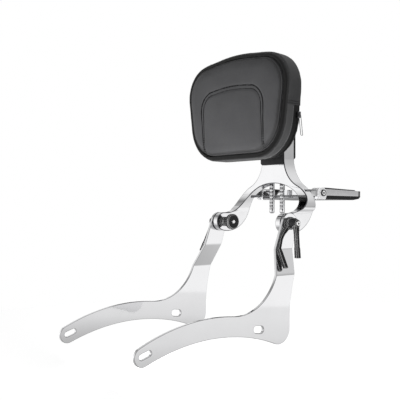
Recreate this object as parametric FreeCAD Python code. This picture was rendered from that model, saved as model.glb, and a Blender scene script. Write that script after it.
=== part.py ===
import FreeCAD, Part
import math
import os

# Adjustable backrest for a motorbike: two side plates, a forked chrome frame that tilts between
# them, a padded back that slides up on two notched posts, and a small folding luggage rack.
# Millimetres. +Z up, -Y towards the front of the bike, +X to the rider's left.
# The origin lies midway between the rear mounting slots of the two side plates.

Vec = FreeCAD.Vector
os.makedirs("parts", exist_ok=True)

# Fits
running = 0.05            # radial clearance of a shaft that turns or slides in its bore
side_gap = 0.15           # clearance between flat faces that slide past each other
soft_gap = 0.3            # clearance between the cushion and what is next to it

# Side plates
plate_pitch = 254.0       # centre to centre of the lower plates
plate_thickness = 6.0
joggle = 20.0             # inboard step of each strap
joggle_low = 97.0         # height where the step starts
joggle_high = 143.0       # height where the step ends
bend_radius = 7.0         # inside radius of each bend
slot_spacing = 249.0      # front slot to rear slot
front_slot_rise = 0.8     # front slot above the middle of the arm
slot_length = 25.0
front_slot_width = 10.0
rear_slot_width = 14.0
front_slot_tilt = 17.0
rear_slot_tilt = -8.0
arm_peak = -102.0         # fore-and-aft place where the arm is highest
arm_top_height = 32.0
arm_bottom_height = -4.5
arm_top_radius = 385.0
arm_bottom_radius = 400.0
arm_tip_overhang = 5.0    # centre of the round front end, ahead of the front slot
plate_rear = 80.0         # rear edge of the lower plate
rear_corner_radius = 28.0
rear_edge_radius = 300.0
strap_rear_lean = 17.0    # lean of the strap's rear edge from the vertical
strap_front_lean = 20.0
strap_end_radius = 20.0
throat_radius = 100.0     # inside curve between the arm and the strap

# Pivot
pivot_y = 102.0
pivot_z = 192.5
pivot_bolt_radius = 5.0
bush_wall = 3.0
boss_radius = 19.5
boss_inner = 88.0         # inboard face of each pivot boss
friction_washer = 1.5
clamp_ring = 3.5          # eye of the release lever, and the plain ring opposite
clamp_ring_radius = 12.5
bolt_head_radius = 10.0
bolt_head_thickness = 4.0
bolt_socket_radius = 3.4
bolt_socket_depth = 2.5
thin_washer = 1.0
thin_washer_radius = 11.0

# Forked frame
stem_half = 33.0
stem_front = 162.0
stem_depth = 31.0
stem_wall = 4.0
stem_top = 400.0
neck_height = 325.0       # height where the stem starts to flare
neck_radius = 62.0
neck_sweep = 65.6
shoulder_radius = 90.0
shoulder_sweep = 21.6
leg_outer = 107.7         # widest half width of the fork
leg_inner = 88.0
arch_springing = 214.0    # height where the arch meets the straight legs
arch_rise = 60.0
leg_back = 179.0          # rear edge of the legs at the knee
knee_height = 238.0
throat_front_radius = 50.5
flare_drop = 30.0         # the stem's back reaches full depth this far below the neck

# Rack hinge
rack_pivot_y = 219.0
rack_pivot_z = 253.0
lug_rear = 199.0          # rear face of the lug behind each shoulder
lug_below = 8.0           # the lug reaches this far below the pivot
lug_above = 6.5
tongue_thickness = 6.0    # tongue of the lug, inside the slot of the rack block
tongue_radius = 7.5
tongue_above = 2.0        # top of the tongue's neck above the pivot
rack_screw_radius = 4.0

# Posts and guide
post_radius = 5.5
post_half_pitch = 15.5
post_y = 175.0
post_bottom = 210.0
first_notch = 12.0        # above the post's lower end
notch_pitch = 7.4
notch_count = 9
notch_radius = 3.0
guide_low = 290.0
guide_high = 350.0
cover_thickness = 4.0
cover_low = 325.0
cover_screw_inset = 8.0
latch_height = 372.0
latch_radius = 4.0
latch_head_radius = 9.0
latch_head_thickness = 6.0
latch_travel = 4.0

# Padded back
pad_top_half = 162.0      # half width where the sides would meet the top
pad_foot_half = 133.0     # half width where the sides would meet the bottom
pad_low = 319.0
pad_high = 534.0
pad_shoulder = 18.0       # fall of the arched top edge from the middle to the sides
pad_front = 42.0
pad_seam = 52.0           # plane of the front seam
pad_back = 100.0
lower_corner = 80.0
upper_corner = 65.0
top_arch_radius = 400.0
rear_upright = 13.0       # how much more upright the sides stand at the back
foot_share = 0.4
back_plate = 3.0
back_plate_share = 0.80   # outline of the back plate against the cushion's
bracket_low = 313.0
bracket_sheet = 4.0
crosshead = 12.0          # thickness of the bracket's arm over the stem
web_low = 345.0           # lower end of the bracket's side webs

# Levers and knob
lever_hub_radius = 10.5
lever_hub_end = 7.0       # radius of the hub's outer end
lever_hub_length = 16.0
lever_screw_radius = 4.4
lever_screw_height = 2.0
corner_share = 0.25       # cut corners of a moulded arm against its thickness
release_reach = 40.0      # room across the release lever
lever_cap = 4.0           # closed end of the hub over the bolt
lever_drop = 65.0
lever_flare = 19.8
arm_offset = 2.5          # the arm leaves the hub this far outboard of its middle
lever_forward = 16.0
knob_flange_radius = 10.0
knob_flange = 6.0
knob_neck_radius = 7.0
knob_radius = 16.5
knob_thickness = 9.0
knob_reach = 31.0         # boss face to knob face

# Rack
rack_half_width = 90.0
rack_block = 18.0         # thickness of the hinge blocks and side rails
block_front = 17.0        # pivot to the front of the block
block_rear = 8.0          # pivot to the start of the strips and the tray
block_below = 13.5
block_above = 10.5
rack_length = 133.0       # pivot to rear end
rack_corner = 20.0        # plan radius of the rear corners
rack_top = 8.5            # top of the rails above the pivot
rack_shell = 3.0
rack_droop = 1.2          # the rack falls away to the rear by this angle
rail_depth = 13.5
deck_drop = 1.5           # top of the deck below the top of the rails
deck_thickness = 4.0
strip_width = 14.0
strip_height = 2.0
tray_depth = 7.5
tie_rod_radius = 4.6
tie_rod_ahead = 10.5      # cross rod, ahead of and below the rack pivot
tie_rod_drop = 8.7
tie_rod_seat = 4.0        # depth of the rod's ends in the blocks

# Zip on the cushion's left side
slider_y = 90.0
slider_width = 8.0
slider_length = 12.0
slider_thickness = 3.0
eye_width = 2.4
eye_height = 2.6
pull_wire = 0.9
pull_gap = 0.4            # room for the wire to turn in the slider's eye
pull_length = 42.0
pull_stand_off = 11.0     # the wire loop hangs away from the side wall by this angle
pull_width = 6.0

# Places that follow from the sizes above
plate_mid = plate_pitch / 2
plate_inner = plate_mid - plate_thickness / 2
plate_outer = plate_mid + plate_thickness / 2
strap_inner = plate_inner - joggle
strap_outer = plate_outer - joggle
boss_outer = strap_inner - side_gap - friction_washer
ring_inner = strap_outer + side_gap
ring_outer = ring_inner + clamp_ring
washer_outer = ring_outer + side_gap + thin_washer
hub_inner = washer_outer + side_gap
hub_outer = hub_inner + lever_hub_length
bolt_end = hub_outer - lever_cap - side_gap
stem_back = stem_front + stem_depth
channel_half = stem_half - stem_wall
channel_front = stem_front + stem_wall
leg_flank = boss_outer
pad_middle = (pad_low + pad_high) / 2
wall_front = pad_seam + 4
wall_back = pad_back - 4
zip_upright = rear_upright * (slider_y - wall_front) / (wall_back - wall_front)


def save(shape, name):
    shape.exportStep("parts/" + name + ".step")
    print("%-24s solids %d  volume %.0f" % (name, len(shape.Solids), shape.Volume))


def mirrored(shape):
    return shape.mirror(Vec(0, 0, 0), Vec(1, 0, 0))


def save_pair(shape, name):
    """Saves a left piece and its mirror image on the right."""
    save(shape, name + "_left")
    save(mirrored(shape), name + "_right")


def both_sides(shape):
    """A left piece and its mirror image, as one group."""
    return Part.makeCompound([shape, mirrored(shape)])


def polar(centre, radius, degrees):
    """A point in a side or front view, as a pair, at an angle round a centre."""
    angle = math.radians(degrees)
    return (centre[0] + radius * math.cos(angle), centre[1] + radius * math.sin(angle))


def side(point, x=0.0):
    """A side-view pair as a point in space."""
    return Vec(x, point[0], point[1])


def front(point, y=0.0):
    """A front-view pair as a point in space."""
    return Vec(point[0], y, point[1])


def line(view, start, end):
    return Part.LineSegment(view(start), view(end)).toShape()


def arc(view, centre, radius, first, last):
    """An arc between two angles, drawn in a side or front view."""
    middle = (first + last) / 2
    ends = [view(polar(centre, radius, angle)) for angle in (first, middle, last)]
    return Part.Arc(*ends).toShape()


def three_point(view, start, middle, end):
    return Part.Arc(view(start), view(middle), view(end)).toShape()


def s_curve(view, start, end):
    """Two equal arcs that shift a vertical line sideways."""
    across = end[0] - start[0]
    up = end[1] - start[1]
    radius = (up ** 2 + across ** 2) / (4 * abs(across))
    middle = ((start[0] + end[0]) / 2, (start[1] + end[1]) / 2)
    bow = radius - math.sqrt(radius ** 2 - (up / 4) ** 2)
    way = math.copysign(1.0, across)
    low = (start[0] + way * bow, start[1] + up / 4)
    high = (end[0] - way * bow, end[1] - up / 4)
    return [three_point(view, start, low, middle), three_point(view, middle, high, end)]


def face(edges):
    return Part.Face(Part.Wire(Part.__sortEdges__(edges)))


def rod(x0, x1, y, z, radius):
    return Part.makeCylinder(radius, x1 - x0, Vec(x0, y, z), Vec(1, 0, 0))


def box(x0, x1, y0, y1, z0, z1):
    return Part.makeBox(x1 - x0, y1 - y0, z1 - z0, Vec(x0, y0, z0))


def rounded(view, corners, radii):
    """A closed outline of straight runs joined by tangent arcs."""
    count = len(corners)
    edges = []
    starts = []
    ends = []
    for i, corner in enumerate(corners):
        before = Vec(*corners[i - 1], 0) - Vec(*corner, 0)
        after = Vec(*corners[(i + 1) % count], 0) - Vec(*corner, 0)
        half = before.getAngle(after) / 2
        reach = radii[i] / math.tan(half)
        before.normalize()
        after.normalize()
        inward = before + after
        inward.normalize()
        sag = radii[i] / math.sin(half) - radii[i]
        here = Vec(*corner, 0)
        start = here + before * reach
        end = here + after * reach
        middle = here + inward * sag
        starts.append((start.x, start.y))
        ends.append((end.x, end.y))
        edges.append(three_point(view, starts[i], (middle.x, middle.y), ends[i]))
    for i in range(count):
        begin = ends[i]
        finish = starts[(i + 1) % count]
        if math.dist(begin, finish) > 0.001:
            edges.append(line(view, begin, finish))
    return Part.Wire(Part.__sortEdges__(edges))


def slot_cutter(y, z, length, width, tilt):
    """A round-ended slot through the lower plate, turned about the X axis."""
    radius = width / 2
    reach = length / 2 - radius
    x0 = plate_inner - plate_thickness
    x1 = plate_outer + plate_thickness
    cutter = rod(x0, x1, -reach, 0, radius)
    cutter = cutter.fuse(rod(x0, x1, reach, 0, radius))
    cutter = cutter.fuse(box(x0, x1, -reach, reach, -radius, radius))
    cutter.rotate(Vec(0, 0, 0), Vec(1, 0, 0), tilt)
    cutter.translate(Vec(0, y, z))
    return cutter


def arm_height(y, peak_height, radius):
    """Height of the arm's top or bottom edge at a fore-and-aft place."""
    return peak_height - radius + math.sqrt(radius ** 2 - (y - arm_peak) ** 2)


def plate_outline():
    """The flat side view of a plate: a low arched arm that sweeps up into a leaning strap."""
    top_centre = (arm_peak, arm_top_height - arm_top_radius)
    bottom_centre = (arm_peak, arm_bottom_height - arm_bottom_radius)
    pivot = (pivot_y, pivot_z)

    tip_y = -slot_spacing - arm_tip_overhang
    tip_top = arm_height(tip_y, arm_top_height, arm_top_radius)
    tip_bottom = arm_height(tip_y, arm_bottom_height, arm_bottom_radius)
    tip = (tip_y, (tip_top + tip_bottom) / 2)
    top_angle = math.degrees(math.atan2(tip[1] - top_centre[1], tip[0] - top_centre[0]))
    bottom_angle = math.degrees(math.atan2(tip[1] - bottom_centre[1], tip[0] - bottom_centre[0]))
    tip_above = polar(top_centre, arm_top_radius, top_angle)
    tip_below = polar(bottom_centre, arm_bottom_radius, bottom_angle)
    tip_end = polar(tip, math.dist(tip_above, tip_below) / 2, top_angle + 90)

    # The throat arc touches the strap's front edge and the arm's top edge.
    lean = math.radians(strap_front_lean)
    edge_start = polar(pivot, strap_end_radius, 180 - strap_front_lean)
    along = (-math.sin(lean), -math.cos(lean))
    base = polar(edge_start, throat_radius, 180 - strap_front_lean)
    offset = (base[0] - top_centre[0], base[1] - top_centre[1])
    half_b = offset[0] * along[0] + offset[1] * along[1]
    rest = offset[0] ** 2 + offset[1] ** 2 - (arm_top_radius + throat_radius) ** 2
    reach = -half_b - math.sqrt(half_b ** 2 - rest)
    throat = (base[0] + reach * along[0], base[1] + reach * along[1])
    throat_strap = (edge_start[0] + reach * along[0], edge_start[1] + reach * along[1])
    down = math.degrees(math.atan2(top_centre[1] - throat[1], top_centre[0] - throat[0])) % 360
    throat_arm = polar(throat, throat_radius, down)
    arm_angle = down - 180

    # The rear edge is a long arc from the vertical to the strap's lean.
    rear_lean = math.radians(strap_rear_lean)
    strap_back = polar(pivot, strap_end_radius, -strap_rear_lean)
    bend_y = plate_rear + rear_edge_radius * (1 - math.cos(rear_lean))
    bend_z = strap_back[1] - (strap_back[0] - bend_y) / math.tan(rear_lean)
    rear_centre = (plate_rear + rear_edge_radius, bend_z - rear_edge_radius * math.sin(rear_lean))

    # The rear lower corner touches the rear edge and the arm's bottom edge.
    corner_y = plate_rear - rear_corner_radius
    hypotenuse = arm_bottom_radius + rear_corner_radius
    rise = math.sqrt(hypotenuse ** 2 - (corner_y - arm_peak) ** 2)
    corner = (corner_y, bottom_centre[1] + rise)
    corner_angle = math.degrees(math.atan2(rise, corner_y - arm_peak))

    edges = [
        arc(side, bottom_centre, arm_bottom_radius, bottom_angle, corner_angle),
        arc(side, corner, rear_corner_radius, corner_angle + 180, 360),
        line(side, (plate_rear, corner[1]), (plate_rear, rear_centre[1])),
        arc(side, rear_centre, rear_edge_radius, 180, 180 - strap_rear_lean),
        line(side, (bend_y, bend_z), strap_back),
        arc(side, pivot, strap_end_radius, -strap_rear_lean, 180 - strap_front_lean),
        line(side, edge_start, throat_strap),
        arc(side, throat, throat_radius, 360 - strap_front_lean, down),
        arc(side, top_centre, arm_top_radius, arm_angle, top_angle),
        three_point(side, tip_above, tip_end, tip_below),
    ]
    return face(edges)


def side_plate():
    """One cut and joggled steel plate, with two mounting slots and the pivot hole."""
    foot = -200.0
    head = 400.0
    corners = [
        (plate_outer, foot), (plate_outer, joggle_low), (strap_outer, joggle_high), (strap_outer, head),
        (strap_inner, head), (strap_inner, joggle_high), (plate_inner, joggle_low), (plate_inner, foot),
    ]
    outside = bend_radius + plate_thickness
    square = 0.5
    radii = [square, outside, bend_radius, square, square, outside, bend_radius, square]
    sheet = Part.Face(rounded(lambda p: front(p, -500.0), corners, radii)).extrude(Vec(0, 1000, 0))
    blank = plate_outline()
    blank.translate(Vec(strap_inner - plate_thickness, 0, 0))
    plate = sheet.common(blank.extrude(Vec(joggle + 3 * plate_thickness, 0, 0)))
    plate = plate.cut(slot_cutter(0, 0, slot_length, rear_slot_width, rear_slot_tilt))
    arm_top = arm_height(-slot_spacing, arm_top_height, arm_top_radius)
    arm_bottom = arm_height(-slot_spacing, arm_bottom_height, arm_bottom_radius)
    slot_height = (arm_top + arm_bottom) / 2 + front_slot_rise
    front_slot = slot_cutter(-slot_spacing, slot_height, slot_length, front_slot_width, front_slot_tilt)
    plate = plate.cut(front_slot)
    return plate.cut(rod(strap_inner - 1, strap_outer + 1, pivot_y, pivot_z, pivot_bolt_radius + running))


def fork_front_view():
    """The A shape seen from the front: stem, flared shoulders, legs and the arch between them."""
    foot = pivot_z - boss_radius - 20
    neck = (stem_half + neck_radius, neck_height)
    neck_end = polar(neck, neck_radius, 180 + neck_sweep)
    shoulder = polar(neck_end, shoulder_radius, 180 + neck_sweep)
    knee_angle = neck_sweep - shoulder_sweep
    shoulder_end = polar(shoulder, shoulder_radius, knee_angle)
    knee_radius = (leg_outer - shoulder_end[0]) / (1 - math.cos(math.radians(knee_angle)))
    knee = polar(shoulder_end, knee_radius, 180 + knee_angle)
    flank_low = pivot_z + boss_radius
    edges = [
        line(front, (0, stem_top), (stem_half, stem_top)),
        line(front, (stem_half, stem_top), (stem_half, neck_height)),
        arc(front, neck, neck_radius, 180, 180 + neck_sweep),
        arc(front, shoulder, shoulder_radius, neck_sweep, knee_angle),
        arc(front, knee, knee_radius, knee_angle, 0),
        *s_curve(front, (leg_outer, knee[1]), (leg_flank, flank_low)),
        line(front, (leg_flank, flank_low), (leg_flank, foot)),
        line(front, (leg_flank, foot), (leg_inner, foot)),
        line(front, (leg_inner, foot), (leg_inner, arch_springing)),
    ]
    right_half = [edge.mirror(Vec(0, 0, 0), Vec(1, 0, 0)) for edge in edges]
    ellipse = Part.Ellipse(Vec(leg_inner, 0, 0), Vec(0, arch_rise, 0), Vec(0, 0, 0))
    arch = Part.Arc(ellipse, 0, math.pi).toShape()
    arch.rotate(Vec(0, 0, 0), Vec(1, 0, 0), 90)
    arch.translate(Vec(0, 0, arch_springing))
    return face(edges + right_half + [arch])


def fork_side_view():
    """The side view of the frame: a straight stem, then a crescent that curls down to the boss."""
    # The rear curve of the crescent is tangent to the boss from outside it.
    rise = knee_height - pivot_z
    span = leg_back - pivot_y
    back_radius = (span ** 2 + rise ** 2 - boss_radius ** 2) / (2 * (span - boss_radius))
    back_centre = (leg_back - back_radius, knee_height)
    touch = math.degrees(math.atan2(pivot_z - knee_height, pivot_y - back_centre[0])) % 360
    boss_top = pivot_z + boss_radius
    crown = (stem_front - throat_front_radius, boss_top + throat_front_radius)
    flare_end = (stem_back, neck_height - flare_drop)
    edges = [
        line(side, (stem_front, stem_top), (stem_front, crown[1])),
        arc(side, crown, throat_front_radius, 0, -90),
        line(side, (crown[0], boss_top), (pivot_y, boss_top)),
        arc(side, (pivot_y, pivot_z), boss_radius, 90, touch),
        arc(side, back_centre, back_radius, touch, 360),
        *s_curve(side, (leg_back, knee_height), flare_end),
        line(side, flare_end, (stem_back, stem_top)),
        line(side, (stem_back, stem_top), (stem_front, stem_top)),
    ]
    return face(edges)


def hinge_lug():
    """A lug behind each shoulder, with a tongue that carries the rack's pivot."""
    root = stem_front + 6
    low = rack_pivot_z - lug_below
    high = rack_pivot_z + lug_above
    inner = rack_half_width - rack_block
    corners = [(root, low), (lug_rear, low), (lug_rear, high), (root, high)]
    block = Part.Face(rounded(side, corners, [3, 3, 3, 3]))
    block.translate(Vec(inner, 0, 0))
    block = block.extrude(Vec(rack_block, 0, 0))
    tongue_inner = (inner + rack_half_width - tongue_thickness) / 2
    tongue_outer = tongue_inner + tongue_thickness
    tongue = rod(tongue_inner, tongue_outer, rack_pivot_y, rack_pivot_z, tongue_radius)
    neck = box(tongue_inner, tongue_outer, lug_rear - rack_shell, rack_pivot_y, rack_pivot_z - tongue_radius,
               rack_pivot_z + tongue_above)
    return block.fuse(tongue).fuse(neck)


def backrest_frame():
    """The chrome frame casting with its pivot bosses, hinge ears and the channel in its stem."""
    front_view = fork_front_view()
    deep = front_view.extrude(Vec(0, stem_back + 60, 0))
    side_view = fork_side_view()
    side_view.translate(Vec(-leg_outer - 1, 0, 0))
    body = deep.common(side_view.extrude(Vec(2 * leg_outer + 2, 0, 0)))
    bore = rod(boss_inner - 1, boss_outer + 1, pivot_y, pivot_z, pivot_bolt_radius + running + bush_wall)
    boss = rod(boss_inner, boss_outer, pivot_y, pivot_z, boss_radius)
    for shape in (boss, mirrored(boss)):
        body = body.fuse(shape)
    lug = hinge_lug()
    body = body.fuse(lug).fuse(mirrored(lug))
    channel = box(-channel_half, channel_half, channel_front, stem_back + 1, arch_springing, stem_top + 1)
    body = body.cut(channel)
    lug_middle = rack_half_width - rack_block / 2
    screw_hole = rod(lug_middle - rack_block, lug_middle + rack_block, rack_pivot_y, rack_pivot_z,
                     rack_screw_radius)
    for cutter in (bore, screw_hole):
        body = body.cut(cutter).cut(mirrored(cutter))
    return body.removeSplitter()


def pivot_bushing():
    inner = pivot_bolt_radius + running
    return rod(boss_inner, boss_outer, pivot_y, pivot_z, inner + bush_wall).cut(
        rod(boss_inner, boss_outer, pivot_y, pivot_z, inner))


def hexagon(x, depth, y, z, radius):
    """A hexagonal prism along X, for a socket."""
    corners = [Vec(x, *polar((y, z), radius, 60 * i)) for i in range(7)]
    return Part.Face(Part.makePolygon(corners)).extrude(Vec(depth, 0, 0))


def ring(x0, x1, radius):
    """A washer on the pivot bolt."""
    bore = rod(x0, x1, pivot_y, pivot_z, pivot_bolt_radius + running)
    return rod(x0, x1, pivot_y, pivot_z, radius).cut(bore)


def left_pivot_bolt():
    head_x = boss_inner - side_gap
    head = rod(head_x - bolt_head_thickness, head_x, pivot_y, pivot_z, bolt_head_radius)
    socket = hexagon(head_x - bolt_head_thickness, bolt_socket_depth, pivot_y, pivot_z, bolt_socket_radius)
    return head.fuse(rod(head_x, bolt_end, pivot_y, pivot_z, pivot_bolt_radius)).cut(socket)


def octagon(centre, width, depth):
    """A level section of a moulded arm: a rectangle along X and Y with its corners cut."""
    cut = min(width, depth) * corner_share
    x = depth / 2
    y = width / 2
    corners = [(-x, cut - y), (cut - x, -y), (x - cut, -y), (x, cut - y), (x, y - cut), (x - cut, y),
               (cut - x, y), (-x, y - cut)]
    points = [Vec(centre.x + across, centre.y + along, centre.z) for across, along in corners]
    return Part.makePolygon(points + [points[0]])


def clamp_lever():
    """A moulded clamping handle: a hub on the bolt and an arm that hangs and leans outward."""
    taper = lever_hub_length / 2
    hub = rod(hub_inner, hub_outer - taper, pivot_y, pivot_z, lever_hub_radius)
    hub = hub.fuse(Part.makeCone(lever_hub_radius, lever_hub_end, taper, Vec(hub_outer - taper, pivot_y, pivot_z),
                                 Vec(1, 0, 0)))
    top = Vec((hub_inner + hub_outer) / 2 + arm_offset, pivot_y, pivot_z - 3)
    tip = Vec(top.x + lever_flare, pivot_y - lever_forward, pivot_z - lever_drop)
    stations = [(0.0, 14.0, 9.0), (0.30, 10.5, 9.0), (0.66, 10.5, 9.0), (0.72, 11.6, 10.0), (1.0, 11.8, 10.4)]
    sections = [octagon(top + (tip - top) * share, width, depth) for share, width, depth in stations]
    lever = hub.fuse(Part.makeLoft(sections, True, True))
    lever = lever.cut(rod(hub_inner - lever_flare, hub_inner, pivot_y, pivot_z, lever_drop))
    bore = rod(hub_inner, hub_outer - lever_cap, pivot_y, pivot_z, pivot_bolt_radius + running)
    return lever.cut(bore).removeSplitter()


def lever_screw():
    """The bright cap screw in the end of a clamp lever's hub."""
    face_x = hub_outer + lever_screw_height
    screw = rod(hub_outer, face_x, pivot_y, pivot_z, lever_screw_radius)
    return screw.cut(hexagon(face_x - 1.2, 2, pivot_y, pivot_z, lever_screw_radius / 2))


def ribbon(view, path):
    """A strip along a bent path of places and widths, drawn in a side or front view."""
    edges = ([], [])
    for i, (place, width) in enumerate(path):
        before = path[max(i - 1, 0)][0]
        after = path[min(i + 1, len(path) - 1)][0]
        run = (after[0] - before[0], after[1] - before[1])
        length = math.hypot(*run)
        offset = (-run[1] / length * width / 2, run[0] / length * width / 2)
        edges[0].append((place[0] + offset[0], place[1] + offset[1]))
        edges[1].append((place[0] - offset[0], place[1] - offset[1]))
    points = [view(p) for p in edges[0] + edges[1][::-1]]
    return Part.Face(Part.makePolygon(points + [points[0]]))


def release_lever():
    """A cranked finger lever on the left pivot: an eye on the bolt and an arm with a thick grip. The
    arm is what its bent side view and its bent front view have in common."""
    middle = (ring_inner + ring_outer) / 2
    thin = clamp_ring - 2 * side_gap
    side_path = [((-5, -6), 8), ((-19, -19), 6.5), ((-27, -30), 6), ((-35.5, -47), 6.5), ((-37, -55), 8.5),
                 ((-36, -84), 8.5)]
    front_path = [((0, -2), thin), ((0, -26), thin), ((4, -47), 4.5), ((8.5, -55), 6.5), ((22, -84), 6.5)]
    side_view = ribbon(side, [((pivot_y + y, pivot_z + z), width) for (y, z), width in side_path])
    front_view = ribbon(front, [((middle + x, pivot_z + z), width) for (x, z), width in front_path])
    side_view.translate(Vec(ring_inner, 0, 0))
    arm = side_view.extrude(Vec(release_reach, 0, 0)).common(front_view.extrude(Vec(0, 2 * pivot_y, 0)))
    return ring(ring_inner, ring_outer, clamp_ring_radius).fuse(arm).cut(
        rod(ring_inner, ring_outer, pivot_y, pivot_z, pivot_bolt_radius + running)).removeSplitter()


def tension_knob():
    """The black push-pull style knob on the inboard end of the right pivot bolt."""
    profile = [
        (0, 0), (0, knob_flange_radius), (knob_flange, knob_flange_radius), (knob_flange, knob_neck_radius),
        (knob_reach - knob_thickness, knob_neck_radius), (knob_reach - knob_thickness, knob_radius),
        (knob_reach - 2, knob_radius), (knob_reach, knob_radius - 2), (knob_reach, 0),
    ]
    x0 = -boss_inner + side_gap
    points = [Vec(x0 + along, pivot_y, pivot_z + across) for along, across in profile]
    shape = Part.Face(Part.makePolygon(points + [points[0]]))
    knob = shape.revolve(Vec(0, pivot_y, pivot_z), Vec(1, 0, 0), 360)
    knob = knob.cut(rod(x0 - 1, x0 + knob_reach - 6, pivot_y, pivot_z, pivot_bolt_radius + running))
    return knob.cut(rod(x0 + knob_reach - 1.5, x0 + knob_reach + 1, pivot_y, pivot_z, 3.2))


def knob_cap():
    x0 = -boss_inner + side_gap + knob_reach - 1.5
    return rod(x0, x0 + 2.5, pivot_y, pivot_z, 3.2)


def right_pivot_bolt():
    x0 = -boss_inner + side_gap + knob_reach - 8
    return rod(-bolt_end, x0, pivot_y, pivot_z, pivot_bolt_radius)


def height_post():
    """A notched post: half-round notches up its front, a ball end with a socket below."""
    top = stem_top + side_gap + crosshead - 4
    post = Part.makeCylinder(post_radius, top - post_bottom, Vec(post_half_pitch, post_y, post_bottom))
    bottom_edge = [edge for edge in post.Edges if edge.BoundBox.ZMax < post_bottom + 0.1]
    post = post.makeChamfer(2.2, bottom_edge)
    first = post_bottom + first_notch
    for i in range(notch_count):
        notch = Part.makeCylinder(notch_radius, 4 * post_radius,
                                  Vec(post_half_pitch - 2 * post_radius, post_y - post_radius,
                                      first + i * notch_pitch), Vec(1, 0, 0))
        post = post.cut(notch)
    return post


def post_guide():
    """The moulded block in the stem's channel that the posts slide through."""
    block = box(-channel_half, channel_half, channel_front, stem_back, guide_low, guide_high)
    for x in (-post_half_pitch, post_half_pitch):
        bore = Part.makeCylinder(post_radius + running, guide_high - guide_low + 2, Vec(x, post_y, guide_low - 1))
        block = block.cut(bore)
    return block


def rear_cover():
    """The black cover behind the stem that closes the channel and carries the height latch."""
    corners = [(-stem_half, cover_low), (stem_half, cover_low), (stem_half, stem_top), (-stem_half, stem_top)]
    plate = Part.Face(rounded(lambda p: front(p, stem_back), corners, [5, 5, 5, 5]))
    plate = plate.extrude(Vec(0, cover_thickness, 0))
    tower = box(-channel_half, channel_half, post_y + post_radius + 1, stem_back, guide_high, stem_top - 6)
    cover = plate.fuse(tower)
    hole = Part.makeCylinder(latch_radius + running, 60, Vec(0, channel_front, latch_height), Vec(0, 1, 0))
    cover = cover.cut(hole)
    return cover.removeSplitter()


def cover_screws():
    """The four flat heads of the screws that hold the rear cover and the guide in the stem."""
    low = cover_low + cover_screw_inset
    high = stem_top - cover_screw_inset
    edge = stem_half - cover_screw_inset
    face_y = stem_back + cover_thickness
    places = [(-edge, low), (edge, low), (-edge, high), (edge, high)]
    heads = [Part.makeCylinder(4.2, 2.2, Vec(x, face_y, z), Vec(0, 1, 0)) for x, z in places]
    return Part.makeCompound(heads)


def height_latch():
    """The push button of the height latch, behind the stem."""
    head_y = stem_back + cover_thickness + latch_travel + side_gap
    stem = Part.makeCylinder(latch_radius, head_y - post_y - post_radius - 5,
                             Vec(0, post_y + post_radius + 5, latch_height), Vec(0, 1, 0))
    head = Part.makeCylinder(latch_head_radius, latch_head_thickness, Vec(0, head_y, latch_height), Vec(0, 1, 0))
    return stem.fuse(head).removeSplitter()


def pad_section(y, scale, upright):
    """One fore-and-aft slice of the cushion: a rounded shape, wider at the top, with an arched top.
    The upright value brings the tops of its sides in and their feet out."""
    side_top = pad_high - pad_shoulder
    foot = pad_foot_half + upright * foot_share
    top = pad_top_half - upright
    outline = [(-foot, pad_low), (foot, pad_low), (top, side_top), (0, pad_high), (-top, side_top)]
    radii = [lower_corner, lower_corner, upper_corner, top_arch_radius, upper_corner]
    corners = [(x * scale, pad_middle + (z - pad_middle) * scale) for x, z in outline]
    return rounded(lambda p: front(p, y), corners, [radius * scale for radius in radii])


def pad_cushion():
    """The sewn cushion as one plain crowned solid: a straight side wall with a soft front and back."""
    slices = [(pad_back, 0.975, rear_upright), (wall_back, 1.0, rear_upright), (wall_front, 1.0, 0),
              (pad_seam - 4, 0.965, 0), (pad_front, 0.82, 0)]
    return Part.makeLoft([pad_section(*values) for values in slices], True, True)


def pad_back_plate():
    """The stiff plate behind the cushion."""
    wire = pad_section(pad_back + soft_gap, back_plate_share, rear_upright)
    return Part.Face(wire).extrude(Vec(0, back_plate, 0))


def pad_bracket():
    """The black folded bracket: a plate on the back plate, side webs, an arm over the stem's top
    and a slide plate that hangs down in front of the stem."""
    y0 = pad_back + soft_gap + back_plate
    y1 = stem_front - side_gap
    arm_low = stem_top + side_gap
    arm_high = arm_low + crosshead
    arm = box(-stem_half, stem_half, y0, stem_back - 2, arm_low, arm_high)
    corners = [(-stem_half, bracket_low), (stem_half, bracket_low), (stem_half, arm_high), (-stem_half, arm_high)]
    slide = Part.Face(rounded(lambda p: front(p, y1 - bracket_sheet), corners, [6, 6, 1, 1]))
    slide = slide.extrude(Vec(0, bracket_sheet, 0))
    pad_plate = box(-stem_half, stem_half, y0, y0 + bracket_sheet, web_low, arm_high)
    web_outline = [(y0, web_low), (y0 + 12, web_low), (y1, web_low - 12), (y1, arm_high), (y0, arm_high)]
    web = Part.Face(rounded(side, web_outline, [0.5, 10, 0.5, 0.5, 0.5]))
    web.translate(Vec(stem_half - bracket_sheet, 0, 0))
    web = web.extrude(Vec(bracket_sheet, 0, 0))
    bracket = arm.fuse(slide).fuse(pad_plate).fuse(web).fuse(mirrored(web))
    for x in (-post_half_pitch, post_half_pitch):
        seat = Part.makeCylinder(post_radius, crosshead - 4, Vec(x, post_y, arm_low))
        bracket = bracket.cut(seat)
    return bracket.removeSplitter()


def post_screws():
    """The heads of the two cap screws that hold the posts in the bracket's arm."""
    top = stem_top + side_gap + crosshead
    return Part.makeCompound([Part.makeCylinder(5.0, 4.0, Vec(x, post_y, top))
                              for x in (-post_half_pitch, post_half_pitch)])


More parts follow.
